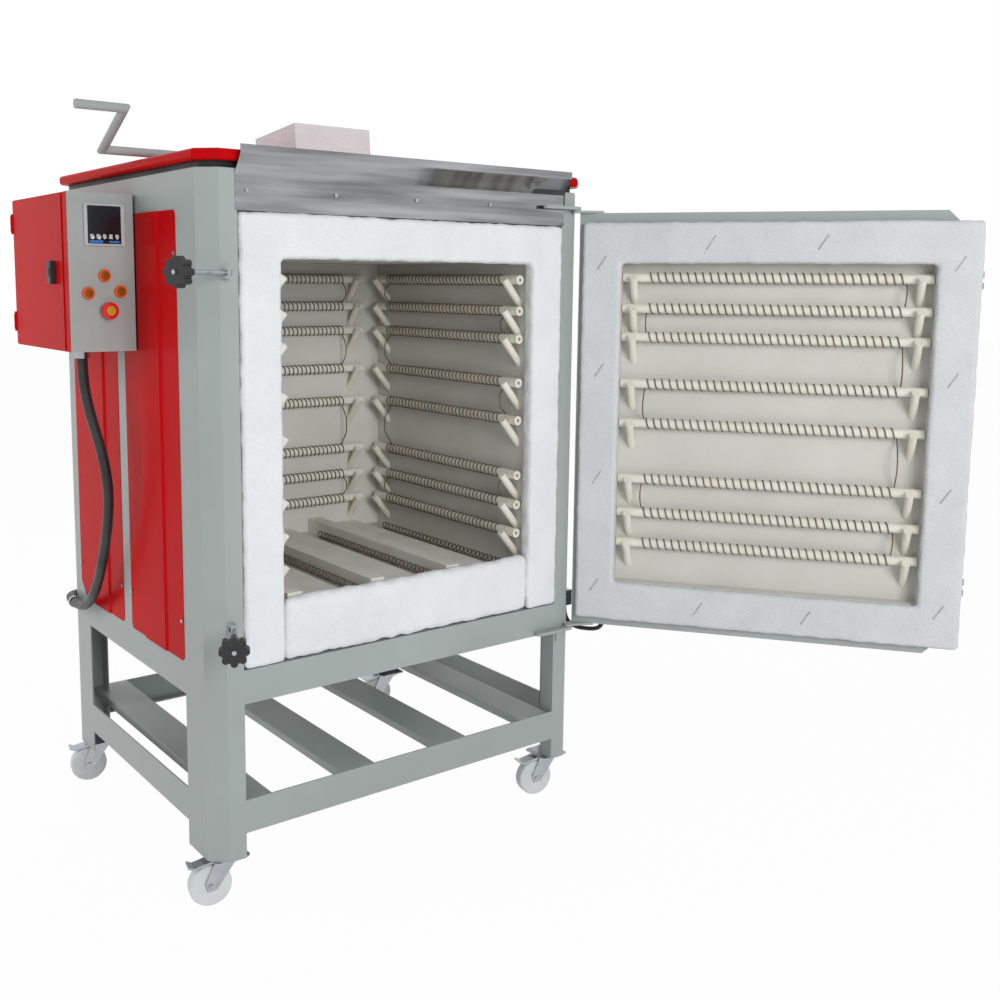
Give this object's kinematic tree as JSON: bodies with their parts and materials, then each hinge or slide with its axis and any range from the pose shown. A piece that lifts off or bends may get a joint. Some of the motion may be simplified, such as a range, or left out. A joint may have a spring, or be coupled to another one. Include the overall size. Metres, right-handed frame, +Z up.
{
  "type": "ceramic kiln",
  "caption": "Front-loading ceramic kiln on a castored stand, with its insulated door swung open, side control box and cranked roof vent.",
  "frame": {"origin": "centre of the box round the solid parts, on the floor", "axes": "+X to the right seen from the front, +Y into the depth, +Z up"},
  "size_m": [1.9308, 1.7906, 1.8444],
  "materials": {
    "red_enamel": "gloss",
    "grey_enamel": "satin",
    "black_paint": "satin",
    "polished_steel": "polished",
    "zinc_steel": "plated",
    "fibre": "matte",
    "beige_ceramic": "matte",
    "white_ceramic": "matte",
    "heating_wire": "oxidised",
    "black_plastic": "satin",
    "grey_plastic": "satin",
    "orange_lens": "gloss",
    "red_plastic": "gloss",
    "nylon": "satin",
    "black_rubber": "satin"
  },
  "bodies": {
    "frame": {"body_screws": "zinc_steel", "casing_sheets": "grey_enamel", "caster_plates": "zinc_steel", "chamber_floor": "fibre", "chamber_walls": "fibre", "control_box": "red_enamel", "control_conduit": "black_rubber", "control_panel": "grey_enamel", "controller": "grey_plastic", "corner_posts": "grey_enamel", "door_cable": "black_rubber", "floor_coils": "heating_wire", "frame_rails": "grey_enamel", "front_blanket": "fibre", "front_sill": "fibre", "gap_band": "black_paint", "hearth": "beige_ceramic", "heat_shield": "polished_steel", "hinge_straps": "grey_enamel", "latch_ears": "grey_enamel", "lead_fittings": "zinc_steel", "pilot_lamps": "orange_lens", "red_panels": "red_enamel", "shelf_bars": "grey_enamel", "top_cover": "red_enamel", "vent_bearings": "zinc_steel", "wall_coils": "heating_wire", "wall_pegs": "beige_ceramic", "wall_tubes": "white_ceramic"},
    "door": {"door_pan": "grey_enamel", "door_board": "fibre", "door_blanket": "fibre", "door_staples": "zinc_steel", "door_tubes": "white_ceramic", "door_pegs": "beige_ceramic", "door_coils": "heating_wire", "door_lugs": "grey_enamel"},
    "upper_bolt": {"upper_bolt": "zinc_steel", "upper_washer": "zinc_steel"},
    "lower_bolt": {"lower_bolt": "zinc_steel", "lower_washer": "zinc_steel"},
    "upper_knob": {"upper_knob": "black_plastic"},
    "lower_knob": {"lower_knob": "black_plastic"},
    "vent": {"vent_crank": "grey_enamel", "vent_flap": "fibre"},
    "stop_button": {"stop_button": "red_plastic"},
    "control_door": {"control_door": "red_enamel"},
    "box_latch": {"box_latch": "black_plastic"},
    "fork_front_left": {"fork_front_left": "zinc_steel"},
    "wheel_front_left": {"wheel_front_left": "nylon"},
    "pedal_front_left": {"pedal_front_left": "zinc_steel"},
    "fork_front_right": {"fork_front_right": "zinc_steel"},
    "wheel_front_right": {"wheel_front_right": "nylon"},
    "pedal_front_right": {"pedal_front_right": "zinc_steel"},
    "fork_rear_left": {"fork_rear_left": "zinc_steel"},
    "wheel_rear_left": {"wheel_rear_left": "nylon"},
    "pedal_rear_left": {"pedal_rear_left": "zinc_steel"},
    "fork_rear_right": {"fork_rear_right": "zinc_steel"},
    "wheel_rear_right": {"wheel_rear_right": "nylon"},
    "pedal_rear_right": {"pedal_rear_right": "zinc_steel"}
  },
  "joints": [
    {"name": "door_swing", "type": "hinge", "parent": "frame", "child": "door", "pos_m": [0.27755, -0.0965, 1.074], "axis": [0, 0, 1], "range_deg": [-127.2, 4]},
    {"name": "upper_bolt_swing", "type": "hinge", "parent": "frame", "child": "upper_bolt", "pos_m": [-0.73545, -0.0975, 1.467], "axis": [0, 0, 1], "range_deg": [-10, 67]},
    {"name": "upper_knob_turn", "type": "hinge", "parent": "upper_bolt", "child": "upper_knob", "pos_m": [-0.87352, -0.15612, 1.467], "axis": [-0.9205, -0.3907, 0], "continuous": true},
    {"name": "lower_bolt_swing", "type": "hinge", "parent": "frame", "child": "lower_bolt", "pos_m": [-0.73545, -0.0975, 0.676], "axis": [0, 0, 1], "range_deg": [-54, 26]},
    {"name": "lower_knob_turn", "type": "hinge", "parent": "lower_bolt", "child": "lower_knob", "pos_m": [-0.8012, -0.23232, 0.676], "axis": [-0.4384, -0.8988, 0], "continuous": true},
    {"name": "vent_turn", "type": "hinge", "parent": "frame", "child": "vent", "pos_m": [-0.32245, 0.33749, 1.756], "axis": [1, 0, 0], "range_deg": [-84, 5]},
    {"name": "stop_push", "type": "slide", "parent": "frame", "child": "stop_button", "axis": [0, 1, 0], "range_m": [0, 0.006], "stiffness_N_per_m": 400},
    {"name": "control_door_swing", "type": "hinge", "parent": "frame", "child": "control_door", "pos_m": [-0.94945, 0.7285, 1.4665], "axis": [0, 0, -1], "range_deg": [0, 100]},
    {"name": "box_latch_turn", "type": "hinge", "parent": "control_door", "child": "box_latch", "pos_m": [-0.95245, 0.40049, 1.467], "axis": [1, 0, 0], "range_deg": [0, 90]},
    {"name": "swivel_front_left", "type": "hinge", "parent": "frame", "child": "fork_front_left", "pos_m": [-0.73245, -0.02751, 0.1], "axis": [0, 0, 1], "continuous": true},
    {"name": "roll_front_left", "type": "hinge", "parent": "fork_front_left", "child": "wheel_front_left", "pos_m": [-0.77157, -0.01919, 0.05], "axis": [-0.2079, -0.9781, 0], "continuous": true},
    {"name": "brake_front_left", "type": "hinge", "parent": "fork_front_left", "child": "pedal_front_left", "pos_m": [-0.76629, -0.02031, 0.1075], "axis": [0.2079, 0.9781, 0], "range_deg": [0, 6]},
    {"name": "swivel_front_right", "type": "hinge", "parent": "frame", "child": "fork_front_right", "pos_m": [0.26755, -0.02751, 0.1], "axis": [0, 0, 1], "continuous": true},
    {"name": "roll_front_right", "type": "hinge", "parent": "fork_front_right", "child": "wheel_front_right", "pos_m": [0.22843, -0.01919, 0.05], "axis": [-0.2079, -0.9781, 0], "continuous": true},
    {"name": "brake_front_right", "type": "hinge", "parent": "fork_front_right", "child": "pedal_front_right", "pos_m": [0.23371, -0.02031, 0.1075], "axis": [0.2079, 0.9781, 0], "range_deg": [0, 6]},
    {"name": "swivel_rear_left", "type": "hinge", "parent": "frame", "child": "fork_rear_left", "pos_m": [-0.73245, 0.80249, 0.1], "axis": [0, 0, 1], "continuous": true},
    {"name": "roll_rear_left", "type": "hinge", "parent": "fork_rear_left", "child": "wheel_rear_left", "pos_m": [-0.77157, 0.81081, 0.05], "axis": [-0.2079, -0.9781, 0], "continuous": true},
    {"name": "brake_rear_left", "type": "hinge", "parent": "fork_rear_left", "child": "pedal_rear_left", "pos_m": [-0.76629, 0.80969, 0.1075], "axis": [0.2079, 0.9781, 0], "range_deg": [0, 6]},
    {"name": "swivel_rear_right", "type": "hinge", "parent": "frame", "child": "fork_rear_right", "pos_m": [0.26755, 0.80249, 0.1], "axis": [0, 0, 1], "continuous": true},
    {"name": "roll_rear_right", "type": "hinge", "parent": "fork_rear_right", "child": "wheel_rear_right", "pos_m": [0.22843, 0.81081, 0.05], "axis": [-0.2079, -0.9781, 0], "continuous": true},
    {"name": "brake_rear_right", "type": "hinge", "parent": "fork_rear_right", "child": "pedal_rear_right", "pos_m": [0.23371, 0.80969, 0.1075], "axis": [0.2079, 0.9781, 0], "range_deg": [0, 6]}
  ]
}
